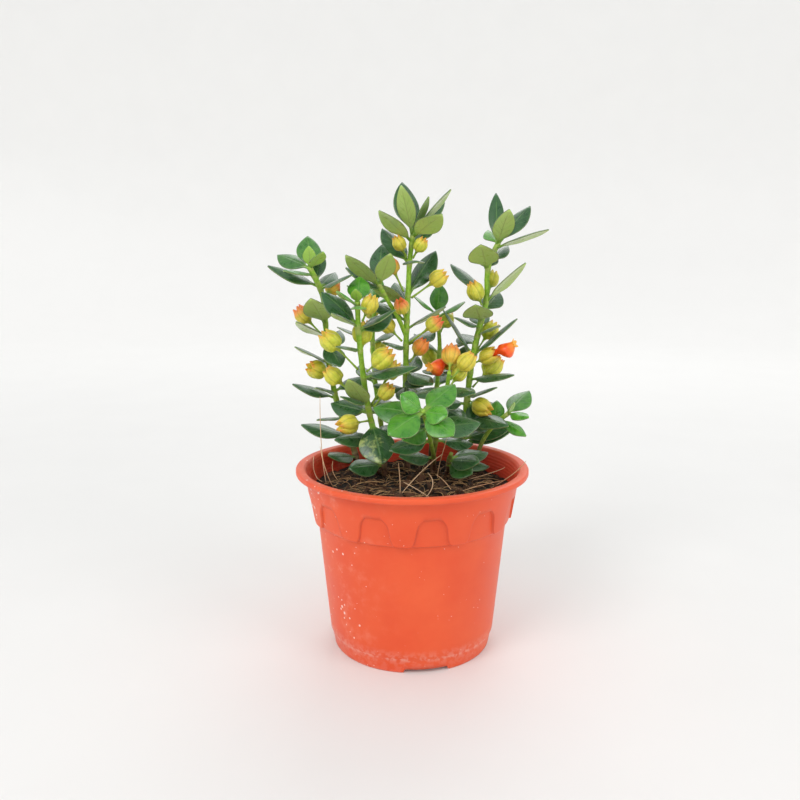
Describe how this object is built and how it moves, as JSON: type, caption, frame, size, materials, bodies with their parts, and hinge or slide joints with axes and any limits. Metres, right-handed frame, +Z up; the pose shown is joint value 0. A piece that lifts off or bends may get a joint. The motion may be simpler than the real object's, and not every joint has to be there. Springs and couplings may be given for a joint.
{
  "type": "potted flowering plant",
  "caption": "Small bushy goldfish plant with paired fleshy leaves, yellow-green calyces and a few orange pouch flowers, in a thin tapered nursery pot",
  "frame": {"origin": "Middle of the pot's underside, on the plane it stands on, which is also the bottom centre of the whole object's box.", "axes": "+Z is up along the pot's axis, +X is the right side in the picture, and the pictured side faces -Y."},
  "size_m": [0.1649, 0.14, 0.2793],
  "materials": {
    "pot_plastic": "thin moulded plastic, slightly glossy",
    "potting_soil": "damp fibrous peat and bark",
    "leaf_green": "thick waxy leaves and green stems",
    "calyx_yellow_green": "fleshy sepals",
    "calyx_orange": "fleshy sepals with orange tips",
    "calyx_red_tipped": "fleshy sepals with pinkish red tips",
    "corolla_orange": "waxy tubular petal"
  },
  "bodies": {
    "root": {"calyx_back_left_1": "calyx_yellow_green", "calyx_back_left_2": "calyx_yellow_green", "calyx_back_right_1": "calyx_yellow_green", "calyx_back_right_2": "calyx_yellow_green", "calyx_centre_1": "calyx_yellow_green", "calyx_centre_2": "calyx_yellow_green", "calyx_centre_3": "calyx_yellow_green", "calyx_centre_4": "calyx_orange", "calyx_centre_5": "calyx_red_tipped", "calyx_centre_6": "calyx_red_tipped", "calyx_centre_7": "calyx_red_tipped", "calyx_centre_8": "calyx_orange", "calyx_centre_right_1": "calyx_orange", "calyx_centre_right_2": "calyx_yellow_green", "calyx_centre_right_3": "calyx_yellow_green", "calyx_left_1": "calyx_red_tipped", "calyx_left_2": "calyx_yellow_green", "calyx_left_3": "calyx_orange", "calyx_left_centre_1": "calyx_yellow_green", "calyx_left_centre_2": "calyx_yellow_green", "calyx_left_centre_3": "calyx_yellow_green", "calyx_left_centre_4": "calyx_yellow_green", "calyx_left_centre_5": "calyx_yellow_green", "calyx_left_centre_6": "calyx_yellow_green", "calyx_left_centre_7": "calyx_yellow_green", "calyx_left_centre_8": "calyx_yellow_green", "calyx_right_1": "calyx_yellow_green", "calyx_right_2": "calyx_yellow_green", "calyx_right_3": "calyx_yellow_green", "calyx_right_4": "calyx_yellow_green", "calyx_right_5": "calyx_yellow_green", "calyx_right_6": "calyx_yellow_green", "calyx_right_7": "calyx_yellow_green", "corolla_right_4": "corolla_orange", "corolla_right_7": "corolla_orange", "pot": "pot_plastic", "soil": "potting_soil", "stem_back_left": "leaf_green", "stem_back_right": "leaf_green", "stem_centre": "leaf_green", "stem_centre_right": "leaf_green", "stem_far_right": "leaf_green", "stem_front": "leaf_green", "stem_left": "leaf_green", "stem_left_centre": "leaf_green", "stem_low_right": "leaf_green", "stem_right": "leaf_green"}
  },
  "joints": []
}
